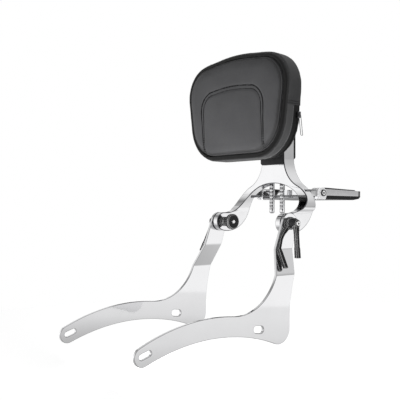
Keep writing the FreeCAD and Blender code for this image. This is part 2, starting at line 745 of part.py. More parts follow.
def to_zip(shape):
    """Moves a shape from the zip's own frame, side wall in the YZ plane, to where the lower corner
    of the cushion begins."""
    rise = pad_high - pad_shoulder - pad_low
    foot = pad_foot_half + zip_upright * foot_share
    slant = math.atan2(pad_top_half - zip_upright - foot, rise)
    reach = lower_corner * math.tan(math.pi / 4 - slant / 2)
    x = foot + reach * math.sin(slant)
    z = pad_low + reach * math.cos(slant)
    shape = shape.copy()
    shape.rotate(Vec(0, 0, 0), Vec(0, 1, 0), math.degrees(slant))
    shape.translate(Vec(x, slider_y, z))
    return shape


def zip_slider():
    """The metal slider of the pocket's zip, on the left side of the cushion."""
    half = slider_width / 2
    face_x = soft_gap + slider_thickness
    body = box(soft_gap, face_x, -half, half, 0, slider_length)
    body = body.makeChamfer(0.8, [edge for edge in body.Edges if edge.BoundBox.XLength > 1])
    eye = box(face_x, face_x + eye_height, -eye_width / 2, eye_width / 2, 2, slider_length - 2)
    slot = box(face_x, face_x + eye_height - 0.8, -eye_width, eye_width, 3.5, slider_length - 3.5)
    return to_zip(body.fuse(eye.cut(slot)).removeSplitter())


def zip_pull():
    """A thin wire loop hanging from the slider."""
    half = pull_width / 2
    top = slider_length - 4.5
    low = top - pull_length
    x = soft_gap + slider_thickness + pull_gap

    def loop(inset, radius):
        corners = [(inset - half, low + inset), (half - inset, low + inset),
                   (half - inset, top - inset), (inset - half, top - inset)]
        return Part.Face(rounded(lambda p: side(p, x), corners, [radius] * 4))

    wire = loop(0, 2.4).cut(loop(pull_wire, 1.5)).extrude(Vec(pull_wire, 0, 0))
    wire.rotate(Vec(x + pull_wire / 2, 0, top - pull_wire / 2), Vec(0, 1, 0), -pull_stand_off)
    return to_zip(wire)


def to_rack(shape):
    """Moves a shape from the rack's own frame, pivot at the origin, to its place."""
    shape = shape.copy()
    shape.rotate(Vec(0, 0, 0), Vec(1, 0, 0), -rack_droop)
    shape.translate(Vec(0, rack_pivot_y, rack_pivot_z))
    return shape


def rack_frame():
    """The chrome rack: two slotted hinge blocks, side rails, a closed deck and a folded front."""
    inner = rack_half_width - rack_block
    rail_low = rack_top - rail_depth
    corners = [
        (-block_front, -block_below), (block_rear, -block_below), (block_rear + 4, rail_low),
        (rack_length - 10, rail_low + 1), (rack_length, rail_low + 3),
        (rack_length, rack_top - 1.5), (block_rear - 1, rack_top), (block_rear - 4, block_above),
        (-block_front, block_above),
    ]
    outline = Part.Face(rounded(side, corners, [2.0, 3.0, 2.0, 10.0, 2.0, 3.0, 1.0, 1.0, 8.0]))
    outline.translate(Vec(inner, 0, 0))
    rail = outline.extrude(Vec(rack_block, 0, 0))
    half_slot = tongue_thickness / 2 + side_gap
    middle = rack_half_width - rack_block / 2
    slot = rod(middle - half_slot, middle + half_slot, 0, 0, tongue_radius + 0.5)
    mouth = box(middle - half_slot, middle + half_slot, -block_front - 1, tongue_above + 0.5,
                -block_below - 1, block_above + 1)
    rail = rail.cut(slot).cut(mouth)
    deck_top = rack_top - deck_drop
    deck = box(-inner, inner, rack_shell - block_front, rack_length - 4, deck_top - deck_thickness, deck_top)
    lip = box(-inner, inner, -block_front, rack_shell - block_front, -4.0, deck_top)
    rear_bar = rod(-inner, inner, rack_length - 6, deck_top - 4.5, 4.5)
    frame = rail.fuse(mirrored(rail))
    for shape in (deck, lip, rear_bar):
        frame = frame.fuse(shape)
    screw_hole = rod(inner - 1, rack_half_width + 1, 0, 0, rack_screw_radius + running)
    rod_hole = rod(inner - 1, inner + tie_rod_seat, -tie_rod_ahead, -tie_rod_drop, tie_rod_radius)
    for cutter in (screw_hole, rod_hole):
        frame = frame.cut(cutter).cut(mirrored(cutter))
    plan_corners = [(-rack_half_width, -block_front - 3), (rack_half_width, -block_front - 3),
                    (rack_half_width, rack_length), (-rack_half_width, rack_length)]
    plan = Part.Face(rounded(lambda p: Vec(p[0], p[1], -30), plan_corners, [1, 1, rack_corner, rack_corner]))
    frame = frame.common(plan.extrude(Vec(0, 0, 60)))
    return to_rack(frame.removeSplitter())


def rail_top_at(y):
    """Height of a side rail's top, in the rack's own frame."""
    start = block_rear - 1
    return rack_top - 1.5 * (y - start) / (rack_length - start)


def rack_strip():
    """A rubber strip along the top of a side rail."""
    start = block_rear + 1
    end = rack_length - rack_corner - 6
    outline = [(start, rail_top_at(start)), (end, rail_top_at(end)), (end - 2, rail_top_at(end) + 1),
               (start + 1, rail_top_at(start) + strip_height)]
    strip = Part.Face(rounded(side, outline, [0.2, 0.2, 0.4, 0.8]))
    strip.translate(Vec(rack_half_width - rack_block / 2 - strip_width / 2, 0, 0))
    return strip.extrude(Vec(strip_width, 0, 0))


def rack_tray():
    """The black moulded tray that closes the rack from below."""
    half = rack_half_width - 1.5
    rail_low = rack_top - rail_depth
    low = rail_low - tray_depth
    start = block_rear + 6
    end = rack_length - 10
    high_end = rail_low + (end - start) / (rack_length - 10 - block_rear - 4)
    corners = [(start, low), (end - 26, low), (end - 6, low + 3), (end, high_end), (start, rail_low)]
    outline = Part.Face(rounded(side, corners, [2.0, 12.0, 8.0, 0.3, 0.3]))
    outline.translate(Vec(-half, 0, 0))
    return outline.extrude(Vec(2 * half, 0, 0))


def rack_pivot_screw():
    """A shoulder screw through the slotted block and the tongue of the lug."""
    head_x = rack_half_width + side_gap
    screw = rod(rack_half_width - rack_block + 0.5, head_x, 0, 0, rack_screw_radius)
    head = rod(head_x, head_x + 2.6, 0, 0, 6.5)
    return to_rack(screw.fuse(head).cut(hexagon(head_x + 1.0, 2, 0, 0, 2.6)).removeSplitter())


def tie_rod():
    """The bright cross rod between the two hinge blocks, under the rack's front."""
    reach = rack_half_width - rack_block + tie_rod_seat
    return to_rack(rod(-reach, reach, -tie_rod_ahead, -tie_rod_drop, tie_rod_radius))


save_pair(side_plate(), "side_plate")
save(backrest_frame(), "backrest_frame")
save(both_sides(pivot_bushing()), "pivot_bushings")
save(both_sides(ring(boss_outer, boss_outer + friction_washer, boss_radius - 1)), "friction_washers")
save(Part.makeCompound([left_pivot_bolt(), right_pivot_bolt()]), "pivot_bolts")
save(release_lever(), "release_lever")
save(mirrored(ring(ring_inner, ring_outer, clamp_ring_radius)), "clamp_ring")
save(both_sides(ring(ring_outer + side_gap, washer_outer, thin_washer_radius)), "lever_washers")
save_pair(clamp_lever(), "clamp_lever")
save_pair(lever_screw(), "lever_screw")
save(tension_knob(), "tension_knob")
save(knob_cap(), "knob_cap")
save_pair(height_post(), "height_post")
save(post_guide(), "post_guide")
save(rear_cover(), "rear_cover")
save(cover_screws(), "cover_screws")
save(height_latch(), "height_latch")
save(pad_cushion(), "pad_cushion")
save(pad_back_plate(), "pad_back_plate")
save(pad_bracket(), "pad_bracket")
save(post_screws(), "post_screws")
save(zip_slider(), "zip_slider")
save(zip_pull(), "zip_pull")
save(rack_frame(), "rack_frame")
save_pair(to_rack(rack_strip()), "rack_strip")
save(to_rack(rack_tray()), "rack_tray")
save(both_sides(rack_pivot_screw()), "rack_pivot_screws")
save(tie_rod(), "tie_rod")
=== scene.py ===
import math

import bpy
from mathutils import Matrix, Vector, kdtree
from mathutils.bvhtree import BVHTree


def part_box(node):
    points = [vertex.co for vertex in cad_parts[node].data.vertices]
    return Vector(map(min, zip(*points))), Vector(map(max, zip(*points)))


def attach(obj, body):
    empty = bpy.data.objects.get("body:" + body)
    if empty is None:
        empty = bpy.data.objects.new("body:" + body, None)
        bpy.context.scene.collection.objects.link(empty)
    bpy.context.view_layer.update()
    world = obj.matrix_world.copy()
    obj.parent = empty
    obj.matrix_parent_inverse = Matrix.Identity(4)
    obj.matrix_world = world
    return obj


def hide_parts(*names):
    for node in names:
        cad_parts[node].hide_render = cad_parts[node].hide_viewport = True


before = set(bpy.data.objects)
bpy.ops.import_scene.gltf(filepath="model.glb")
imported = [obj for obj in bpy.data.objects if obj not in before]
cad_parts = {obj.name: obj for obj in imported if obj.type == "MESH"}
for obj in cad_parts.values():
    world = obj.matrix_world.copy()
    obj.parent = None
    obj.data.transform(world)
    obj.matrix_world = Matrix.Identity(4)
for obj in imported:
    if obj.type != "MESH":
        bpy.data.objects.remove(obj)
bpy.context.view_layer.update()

# Camera. The view of the photograph: low beside the left front, looking up by a fraction of a degree.
# The image plane is square and the lens is a short telephoto.
camera_data = bpy.data.cameras.new("camera")
camera_data.lens = 63.03
camera_data.sensor_width = 36.0
camera_data.clip_start = 0.05
camera_data.clip_end = 60.0
camera = bpy.data.objects.new("camera", camera_data)
camera.location = (1.0699, -0.8793, 0.2292)
camera.rotation_euler = (math.radians(90.362), 0.0, math.radians(51.705))
bpy.context.collection.objects.link(camera)
bpy.context.scene.camera = camera
bpy.context.scene.view_settings.view_transform = "Standard"


# Studio. A white room for the camera, with greyer walls and three dark cards that only bright metal
# reflects. The soft light on the object comes from the world and three lamps.
def link(tree, source, target):
    tree.links.new(source, target)


def ramp(tree, stops, source):
    """Greys along a source value, from pairs of position and grey."""
    node = tree.nodes.new("ShaderNodeValToRGB")
    elements = node.color_ramp.elements
    while len(elements) > 1:
        elements.remove(elements[-1])
    for i, (position, grey) in enumerate(stops):
        element = elements[0] if i == 0 else elements.new(position)
        element.position = position
        element.color = (grey, grey, grey, 1.0)
    link(tree, source, node.inputs["Fac"])
    return node.outputs["Color"]


def math_node(tree, operation, first, second=None):
    """A Math node whose inputs are numbers or sockets."""
    node = tree.nodes.new("ShaderNodeMath")
    node.operation = operation
    for socket, value in zip(node.inputs, (first, second)):
        if value is None:
            continue
        if isinstance(value, (int, float)):
            socket.default_value = value
        else:
            link(tree, value, socket)
    return node.outputs[0]


world = bpy.data.worlds.new("studio")
bpy.context.scene.world = world
world.use_nodes = True
sky = world.node_tree
sky.nodes.clear()
direction = sky.nodes.new("ShaderNodeTexCoord").outputs["Generated"]
parts = sky.nodes.new("ShaderNodeSeparateXYZ")
link(sky, direction, parts.inputs[0])
height = math_node(sky, "MULTIPLY_ADD", parts.outputs["Z"], 0.5)
height.node.inputs[2].default_value = 0.5
east_sky = ramp(sky, [(0.0, 0.95), (0.497, 0.95), (0.506, 0.44), (0.53, 0.42), (0.56, 0.50), (0.66, 0.55),
                      (0.80, 0.74), (1.0, 0.9)], height)
west_front_sky = ramp(sky, [(0.0, 1.0), (0.53, 1.0), (0.62, 0.88), (0.72, 0.62), (0.80, 0.22), (0.86, 0.5),
                            (1.0, 0.9)], height)
west_rear_sky = ramp(sky, [(0.0, 0.9), (0.52, 0.95), (0.55, 0.16), (0.62, 0.12), (0.66, 0.85), (0.80, 0.55),
                           (1.0, 0.9)], height)


def toward(place):
    """How far a reflected ray leans towards a level direction, from -1 to 1."""
    node = sky.nodes.new("ShaderNodeVectorMath")
    node.operation = "DOT_PRODUCT"
    link(sky, direction, node.inputs[0])
    node.inputs[1].default_value = place
    return node.outputs["Value"]


def dark_card(edge, core, tone, place):
    """White with a dark card that stands in a level direction and softens from its core to its edge."""
    return ramp(sky, [(0.0, 1.0), (edge, 1.0), (core, tone[0]), (1.0, tone[1])], toward(place))


def blended(share, first, second, mode="MIX"):
    """A Mix node of two reflected tones, with sockets as inputs."""
    node = sky.nodes.new("ShaderNodeMix")
    node.data_type = "RGBA"
    node.blend_type = mode
    for socket, source in (("Factor", share), ("A", first), ("B", second)):
        if source is not None:
            link(sky, source, node.inputs[socket])
    return node


rear = (0.0, 1.0, 0.0)
east = (0.785, 0.62, 0.0)
behind_camera = (0.785, -0.62, 0.0)
beyond_object = (-0.785, 0.62, 0.0)
rear_doorway = (0.30, 0.954, 0.0)
rearward = ramp(sky, [(0.0, 0.0), (0.06, 1.0)], toward(rear))
eastward = ramp(sky, [(0.0, 0.0), (0.30, 1.0)], toward(east))
west_sky = blended(rearward, west_front_sky, west_rear_sky)
room = blended(eastward, west_sky.outputs["Result"], east_sky)
cards = [dark_card(0.88, 0.95, (0.10, 0.06), behind_camera),
         dark_card(0.95, 0.98, (0.12, 0.12), beyond_object),
         dark_card(0.93, 0.96, (0.10, 0.06), rear_doorway)]
shaded_room = room
for card in cards:
    shaded_room = blended(None, shaded_room.outputs["Result"], card, "MULTIPLY")
    shaded_room.inputs["Factor"].default_value = 1.0
ray = sky.nodes.new("ShaderNodeLightPath")
seen_in_gloss = math_node(sky, "MAXIMUM", ray.outputs["Is Glossy Ray"], ray.outputs["Is Transmission Ray"])
white = sky.nodes.new("ShaderNodeBackground")
white.inputs["Color"].default_value = (1.0, 1.0, 1.0, 1.0)
fill_light = sky.nodes.new("ShaderNodeBackground")
fill_light.inputs["Color"].default_value = (1.0, 1.0, 1.0, 1.0)
fill_light.inputs["Strength"].default_value = 0.28
reflected = sky.nodes.new("ShaderNodeBackground")
link(sky, shaded_room.outputs["Result"], reflected.inputs["Color"])
first_mix = sky.nodes.new("ShaderNodeMixShader")
link(sky, ray.outputs["Is Camera Ray"], first_mix.inputs[0])
link(sky, fill_light.outputs[0], first_mix.inputs[1])
link(sky, white.outputs[0], first_mix.inputs[2])
second_mix = sky.nodes.new("ShaderNodeMixShader")
link(sky, seen_in_gloss, second_mix.inputs[0])
link(sky, first_mix.outputs[0], second_mix.inputs[1])
link(sky, reflected.outputs[0], second_mix.inputs[2])
world_output = sky.nodes.new("ShaderNodeOutputWorld")
link(sky, second_mix.outputs[0], world_output.inputs["Surface"])

lamp_aim = Vector((0.0, 0.1, 0.3))
for name, place, power, size in (("key_lamp", (-0.05, -0.30, 0.08), 3.3, 0.3),
                                 ("camera_lamp", (1.5, -0.6, 0.6), 13.0, 0.8),
                                 ("rear_lamp", (-1.2, 1.8, 1.6), 12.0, 1.4)):
    lamp_data = bpy.data.lights.new(name, "AREA")
    lamp_data.energy = power
    lamp_data.size = size
    lamp_data.specular_factor = 0.6
    lamp = bpy.data.objects.new(name, lamp_data)
    lamp.location = place
    lamp.rotation_euler = (lamp_aim - Vector(place)).to_track_quat("-Z", "Y").to_euler()
    lamp.visible_glossy = False
    bpy.context.collection.objects.link(lamp)

# The floor is a disc a little below the object, white to the camera and grey to bright metal.
floor_height = -0.12
floor_radius = 1.15
floor_middle = 0.1
floor_sides = 128
floor_mesh = bpy.data.meshes.new("floor")
floor_turns = [2 * math.pi * i / floor_sides for i in range(floor_sides)]
floor_points = [(floor_radius * math.cos(turn), floor_radius * math.sin(turn) + floor_middle, floor_height)
                for turn in floor_turns]
floor_mesh.from_pydata(floor_points, [], [list(range(floor_sides))])
floor = bpy.data.objects.new("floor", floor_mesh)
bpy.context.collection.objects.link(floor)
floor_material = bpy.data.materials.new("pale floor")
floor_material.use_nodes = True
tree = floor_material.node_tree
tree.nodes.clear()
paint = tree.nodes.new("ShaderNodeBsdfDiffuse")
paint.inputs["Color"].default_value = (0.8, 0.8, 0.8, 1.0)
lift = tree.nodes.new("ShaderNodeEmission")
lift.inputs["Strength"].default_value = 0.64
lit = tree.nodes.new("ShaderNodeAddShader")
link(tree, paint.outputs[0], lit.inputs[0])
link(tree, lift.outputs[0], lit.inputs[1])
away = tree.nodes.new("ShaderNodeVectorMath")
away.operation = "LENGTH"
link(tree, tree.nodes.new("ShaderNodeTexCoord").outputs["Object"], away.inputs[0])
mirror_tone = tree.nodes.new("ShaderNodeEmission")
# To bright metal the floor is darker towards the middle: painted shade of the object on it.
floor_gloss_with_shade = [(0.0, 0.36), (0.35, 0.52), (0.65, 0.76), (1.0, 0.82)]
link(tree, ramp(tree, floor_gloss_with_shade, away.outputs["Value"]), mirror_tone.inputs["Color"])
ray = tree.nodes.new("ShaderNodeLightPath")
seen_in_gloss = math_node(tree, "MAXIMUM", ray.outputs["Is Glossy Ray"], ray.outputs["Is Transmission Ray"])
floor_mix = tree.nodes.new("ShaderNodeMixShader")
link(tree, seen_in_gloss, floor_mix.inputs[0])
link(tree, lit.outputs[0], floor_mix.inputs[1])
link(tree, mirror_tone.outputs[0], floor_mix.inputs[2])
link(tree, floor_mix.outputs[0], tree.nodes.new("ShaderNodeOutputMaterial").inputs["Surface"])
floor_mesh.materials.append(floor_material)


# Side plates and frame. Steel plate cut, joggled and chrome plated; the forked frame is a polished
# casting. Both show faint polishing waves and fine scratches, and a darker line along their edges is
# a painted reflection of dark surroundings.
def new_group(name, inputs, outputs):
    """An empty node group with named inputs and outputs."""
    group = bpy.data.node_groups.new(name, "ShaderNodeTree")
    for socket_name, kind, value in inputs:
        socket = group.interface.new_socket(socket_name, in_out="INPUT", socket_type=kind)
        if value is not None:
            socket.default_value = value
    for socket_name, kind in outputs:
        group.interface.new_socket(socket_name, in_out="OUTPUT", socket_type=kind)
    return group, group.nodes.new("NodeGroupInput").outputs, group.nodes.new("NodeGroupOutput").inputs


def noise(tree, coordinates, scale, detail=3.0, roughness=0.5):
    """Soft noise whose scale is a number or a socket."""
    node = tree.nodes.new("ShaderNodeTexNoise")
    link(tree, coordinates, node.inputs["Vector"])
    node.inputs["Detail"].default_value = detail
    node.inputs["Roughness"].default_value = roughness
    if isinstance(scale, (int, float)):
        node.inputs["Scale"].default_value = scale
    else:
        link(tree, scale, node.inputs["Scale"])
    return node.outputs["Fac"]


def bump(tree, height, strength, distance, normal=None):
    """A normal that follows a height, on top of another normal where one is given."""
    node = tree.nodes.new("ShaderNodeBump")
    node.inputs["Distance"].default_value = distance
    link(tree, height, node.inputs["Height"])
    if isinstance(strength, (int, float)):
        node.inputs["Strength"].default_value = strength
    else:
        link(tree, strength, node.inputs["Strength"])
    if normal is not None:
        link(tree, normal, node.inputs["Normal"])
    return node.outputs["Normal"]


def remap(tree, source, low, high, to_low, to_high):
    """A value moved from one range to another and kept within it."""
    node = tree.nodes.new("ShaderNodeMapRange")
    link(tree, source, node.inputs["Value"])
    for name, value in (("From Min", low), ("From Max", high), ("To Min", to_low), ("To Max", to_high)):
        if isinstance(value, (int, float)):
            node.inputs[name].default_value = value
        else:
            link(tree, value, node.inputs[name])
    return node.outputs["Result"]


def blend_colours(tree, share, first, second):
    """A share of the second colour over the first."""
    node = tree.nodes.new("ShaderNodeMix")
    node.data_type = "RGBA"
    link(tree, share, node.inputs["Factor"])
    for name, value in (("A", first), ("B", second)):
        if isinstance(value, tuple):
            node.inputs[name].default_value = value + (1.0,)
        else:
            link(tree, value, node.inputs[name])
    return node.outputs["Result"]


polish, given, puts = new_group(
    "polished plating",
    [("Bright", "NodeSocketColor", (0.93, 0.93, 0.94, 1.0)),
     ("Hazy", "NodeSocketColor", (0.80, 0.80, 0.81, 1.0)),
     ("Waves", "NodeSocketFloat", 0.05), ("Roughness", "NodeSocketFloat", 0.05)],
    [("Colour", "NodeSocketColor"), ("Roughness", "NodeSocketFloat"), ("Normal", "NodeSocketVector")])
where = polish.nodes.new("ShaderNodeTexCoord").outputs["Object"]
haze = remap(polish, noise(polish, where, 14.0, 4.0, 0.6), 0.35, 0.75, 0.0, 1.0)
link(polish, blend_colours(polish, haze, given["Bright"], given["Hazy"]), puts["Colour"])
smear = noise(polish, where, 95.0, 5.0, 0.65)
gloss = math_node(polish, "MULTIPLY", remap(polish, smear, 0.3, 0.8, 0.6, 1.9), given["Roughness"])
link(polish, gloss, puts["Roughness"])
scratch_map = polish.nodes.new("ShaderNodeMapping")
scratch_map.inputs["Scale"].default_value = (900.0, 40.0, 900.0)
link(polish, where, scratch_map.inputs["Vector"])
scratches = noise(polish, scratch_map.outputs[0], 1.0, 2.0, 0.5)
fine = bump(polish, scratches, 0.02, 0.0002)
link(polish, bump(polish, noise(polish, where, 24.0, 1.0, 0.4), given["Waves"], 0.002, fine), puts["Normal"])


def shaded(name, surface):
    """A material whose colour, roughness and normal come from a surface group."""
    material = bpy.data.materials.new(name)
    material.use_nodes = True
    tree = material.node_tree
    shader = tree.nodes["Principled BSDF"]
    group = tree.nodes.new("ShaderNodeGroup")
    group.node_tree = surface
    link(tree, group.outputs["Colour"], shader.inputs["Base Color"])
    link(tree, group.outputs["Roughness"], shader.inputs["Roughness"])
    link(tree, group.outputs["Normal"], shader.inputs["Normal"])
    return material, shader, group


def plated(name, bright, hazy, waves, roughness):
    """A polished chrome finish."""
    material, shader, group = shaded(name, polish)
    shader.inputs["Metallic"].default_value = 1.0
    group.inputs["Bright"].default_value = bright + (1.0,)
    group.inputs["Hazy"].default_value = hazy + (1.0,)
    group.inputs["Waves"].default_value = waves
    group.inputs["Roughness"].default_value = roughness
    return material


def finish_node(node, material, bevel=0.0, segments=2, edge_material=None, free=False):
    """Gives a CAD node its material and, where wanted, broken edges with a material of their own. With free,
    a bevel keeps its full width where the mesh has small faces beside it."""
    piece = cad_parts[node]
    for material_slot in piece.material_slots:
        material_slot.material = material
    if not piece.material_slots:
        piece.data.materials.append(material)
    if bevel > 0.0:
        joined = piece.modifiers.new("joined faces", "WELD")
        joined.merge_threshold = 0.00001
        whole_faces = piece.modifiers.new("whole faces", "DECIMATE")
        whole_faces.decimate_type = "DISSOLVE"
        whole_faces.angle_limit = math.radians(0.2)
        edges = piece.modifiers.new("broken edges", "BEVEL")
        edges.width = bevel
        edges.segments = segments
        edges.limit_method = "ANGLE"
        edges.angle_limit = math.radians(40.0)
        edges.use_clamp_overlap = not free
        if edge_material is not None:
            piece.data.materials.append(edge_material)
            edges.material = len(piece.data.materials) - 1
        flats = piece.modifiers.new("true flats", "WEIGHTED_NORMAL")
        flats.keep_sharp = False
        flats.weight = 100
    return piece


plate_chrome = plated("plate chrome", (0.93, 0.93, 0.94), (0.90, 0.90, 0.91), 0.015, 0.05)
frame_chrome = plated("frame chrome", (0.93, 0.93, 0.94), (0.88, 0.88, 0.89), 0.04, 0.06)
# The edge materials put darker plating on the bevels: a painted reflection of dark surroundings.
edge_painted_reflection = plated("edge painted reflection", (0.16, 0.16, 0.17), (0.10, 0.10, 0.11), 0.02, 0.12)
plate_edge_painted_reflection = plated("plate edge painted reflection", (0.50, 0.50, 0.51), (0.40, 0.40, 0.41), 0.02, 0.10)
for node in ("side_plate_left", "side_plate_right"):
    finish_node(node, plate_chrome, bevel=0.0008, segments=3, edge_material=plate_edge_painted_reflection, free=True)
finish_node("backrest_frame", frame_chrome, bevel=0.0016, segments=3, edge_material=edge_painted_reflection, free=True)


# Pivots. Each boss turns on a bolt through a black bushing; the bright bolts and washers are plated
# steel, and the ring opposite the release lever is black.
steel = plated("fastener steel", (0.70, 0.70, 0.72), (0.55, 0.55, 0.57), 0.02, 0.22)

moulding, given, puts = new_group(
    "moulded grain",
    [("Dark", "NodeSocketColor", None), ("Worn", "NodeSocketColor", None),
     ("Grain size", "NodeSocketFloat", 900.0), ("Least roughness", "NodeSocketFloat", 0.3)],
    [("Colour", "NodeSocketColor"), ("Roughness", "NodeSocketFloat"), ("Normal", "NodeSocketVector")])
where = moulding.nodes.new("ShaderNodeTexCoord").outputs["Object"]
mottle = noise(moulding, where, 60.0, 3.0, 0.5)
link(moulding, blend_colours(moulding, mottle, given["Dark"], given["Worn"]), puts["Colour"])
most = math_node(moulding, "ADD", given["Least roughness"], 0.14)
link(moulding, remap(moulding, mottle, 0.3, 0.7, given["Least roughness"], most), puts["Roughness"])
grain = noise(moulding, where, given["Grain size"], 4.0, 0.6)
link(moulding, bump(moulding, grain, 0.2, 0.0002), puts["Normal"])


def moulded(name, dark, worn, grain_size, least_roughness):
    """A black moulded or coated surface with a fine grain."""
    material, shader, group = shaded(name, moulding)
    shader.inputs["Specular IOR Level"].default_value = 0.25
    group.inputs["Dark"].default_value = dark + (1.0,)
    group.inputs["Worn"].default_value = worn + (1.0,)
    group.inputs["Grain size"].default_value = grain_size
    group.inputs["Least roughness"].default_value = least_roughness
    return material


black_coat = moulded("black coat", (0.008, 0.008, 0.008), (0.016, 0.016, 0.017), 900.0, 0.26)
for node in ("pivot_bolts", "lever_washers"):
    finish_node(node, steel, bevel=0.0003)
for node in ("pivot_bushings", "friction_washers"):
    finish_node(node, black_coat, bevel=0.0002)
finish_node("clamp_ring", black_coat, bevel=0.0006)


# Levers and knob. Moulded clamping handles, each with a bright cap screw and its hexagon socket, the
# cranked release lever, and the knob that sets the tension.
satin_black = moulded("satin black moulding", (0.006, 0.006, 0.006), (0.014, 0.014, 0.015), 1800.0, 0.22)
# The lighter bevels on the levers and knob are a painted highlight along their edges.
lever_edge_highlight = moulded("lever edge painted highlight", (0.10, 0.10, 0.10), (0.20, 0.20, 0.20), 1800.0, 0.20)
for node in ("clamp_lever_left", "clamp_lever_right", "tension_knob"):
    finish_node(node, satin_black, bevel=0.0009, segments=3, edge_material=lever_edge_highlight, free=True)
finish_node("release_lever", black_coat, bevel=0.0008, segments=3, edge_material=lever_edge_highlight, free=True)
cap_metal = plated("cap metal", (0.95, 0.95, 0.95), (0.88, 0.88, 0.88), 0.02, 0.30)
cap_metal.node_tree.nodes["Principled BSDF"].inputs["Metallic"].default_value = 0.35
for node in ("lever_screw_left", "lever_screw_right", "knob_cap"):
    finish_node(node, cap_metal, bevel=0.0002)


def between(first, second, sides):
    """The faces between two loops of points, each given by the index of its first point."""
    return [(first + k, first + (k + 1) % sides, second + (k + 1) % sides, second + k) for k in range(sides)]


def put_mesh(name, points, faces, material, body):
    """A piece made from points and faces, which rides on a body and takes the given material."""
    mesh = bpy.data.meshes.new(name)
    mesh.from_pydata([tuple(point) for point in points], [], faces)
    mesh.materials.append(material)
    piece = bpy.data.objects.new(name, mesh)
    bpy.context.collection.objects.link(piece)
    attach(piece, body)
    return piece


def hexagon_socket(name, body, face, centre, outward, radius):
    """A dark hexagon on a screw's outer face, which looks along X: painted shade of the socket's recess."""
    sunk, proud = 0.0003, 0.00006
    rim = [(radius * math.cos(math.pi * k / 3), radius * math.sin(math.pi * k / 3)) for k in range(6)]
    points = [(face + outward * lift, centre[0] + y, centre[1] + z)
              for lift in (-sunk, proud) for y, z in rim]
    ends = [tuple(reversed(range(6))), tuple(range(6, 12))]
    put_mesh(name, points, ends + between(0, 6, 6), black_coat, body)


lever_socket_radius = 0.0018
for side, outward in (("left", 1), ("right", -1)):
    low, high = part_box("lever_screw_" + side)
    hexagon_socket("lever_socket_" + side, "clamp_lever_" + side, high[0] if outward > 0 else low[0],
                   ((low[1] + high[1]) / 2, (low[2] + high[2]) / 2), outward, lever_socket_radius)


# Height posts, guide and cover. Two bright notched posts slide in a black block inside the stem, and
# a black cover closes the stem behind and carries the push button.
post_chrome = plated("post chrome", (0.95, 0.95, 0.96), (0.90, 0.90, 0.91), 0.01, 0.06)
for node in ("height_post_left", "height_post_right"):
    finish_node(node, post_chrome, bevel=0.0006, edge_material=edge_painted_reflection, free=True)
finish_node("post_guide", satin_black, bevel=0.0006)
finish_node("rear_cover", black_coat, bevel=0.0006)
finish_node("height_latch", satin_black, bevel=0.0004)
finish_node("cover_screws", steel)


# Cushion mount. A black coated plate behind the cushion and the folded bracket that joins it to the
# tops of the height posts with two screws.
finish_node("pad_back_plate", black_coat, bevel=0.0005)
finish_node("pad_bracket", black_coat, bevel=0.0006)
finish_node("post_screws", steel)


# Rack. A folded chrome deck between two matt hinge blocks, with a cross rod under its front end and a
# black moulded tray behind that. Each pivot screw has a black ring round its head: painted shadow of
# the recess round the head.
block_end = 0.2270
block_inside = 0.0720
mask_blur = 0.0005
rack_chrome = plated("rack chrome", (0.92, 0.92, 0.93), (0.86, 0.86, 0.87), 0.03, 0.07)
rod_chrome = plated("rod chrome", (0.50, 0.50, 0.51), (0.34, 0.34, 0.35), 0.02, 0.10)
tree = rack_chrome.node_tree
spot = tree.nodes.new("ShaderNodeSeparateXYZ")
link(tree, tree.nodes.new("ShaderNodeTexCoord").outputs["Object"], spot.inputs[0])
beyond = remap(tree, spot.outputs["Y"], block_end - mask_blur, block_end + mask_blur, 0.0, 1.0)
inboard = remap(tree, math_node(tree, "ABSOLUTE", spot.outputs["X"]), block_inside, block_inside + mask_blur,
                1.0, 0.0)
link(tree, remap(tree, math_node(tree, "MAXIMUM", beyond, inboard), 0.0, 1.0, 0.25, 1.0),
     tree.nodes["Principled BSDF"].inputs["Metallic"])
finish_node("rack_frame", rack_chrome, bevel=0.0010, segments=3, edge_material=edge_painted_reflection)
finish_node("tie_rod", rod_chrome, bevel=0.0005, edge_material=edge_painted_reflection)
finish_node("rack_tray", satin_black, bevel=0.0010, segments=3)
finish_node("rack_pivot_screws", cap_metal, bevel=0.0003)

rack_socket_radius = 0.0019
ring_inner = 0.0048
ring_outer = 0.0068
ring_depth = 0.0024
ring_proud = 0.0001
ring_chamfer = 0.0004
ring_sides = 36
ring_profile = [(-ring_depth, ring_inner), (ring_proud, ring_inner), (ring_proud, ring_outer - ring_chamfer),
                (ring_proud - ring_chamfer, ring_outer), (-ring_depth, ring_outer)]
screws_low, screws_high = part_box("rack_pivot_screws")
screw_centre = ((screws_low[1] + screws_high[1]) / 2, (screws_low[2] + screws_high[2]) / 2)
# Each ring is a dark sheet of painted shadow round a screw head.
for side, outward, face in (("left", 1, screws_high[0]), ("right", -1, screws_low[0])):
    hexagon_socket("rack_socket_" + side, "backrest", face, screw_centre, outward, rack_socket_radius)
    points = []
    faces = []
    for i, (rise, radius) in enumerate(ring_profile):
        for k in range(ring_sides):
            angle = 2 * math.pi * k / ring_sides
            points.append((face + outward * rise, screw_centre[0] + radius * math.cos(angle),
                           screw_centre[1] + radius * math.sin(angle)))
        faces += between(ring_sides * i, ring_sides * ((i + 1) % len(ring_profile)), ring_sides)
    put_mesh("screw_shadow_ring_" + side, points, faces, black_coat, "backrest")


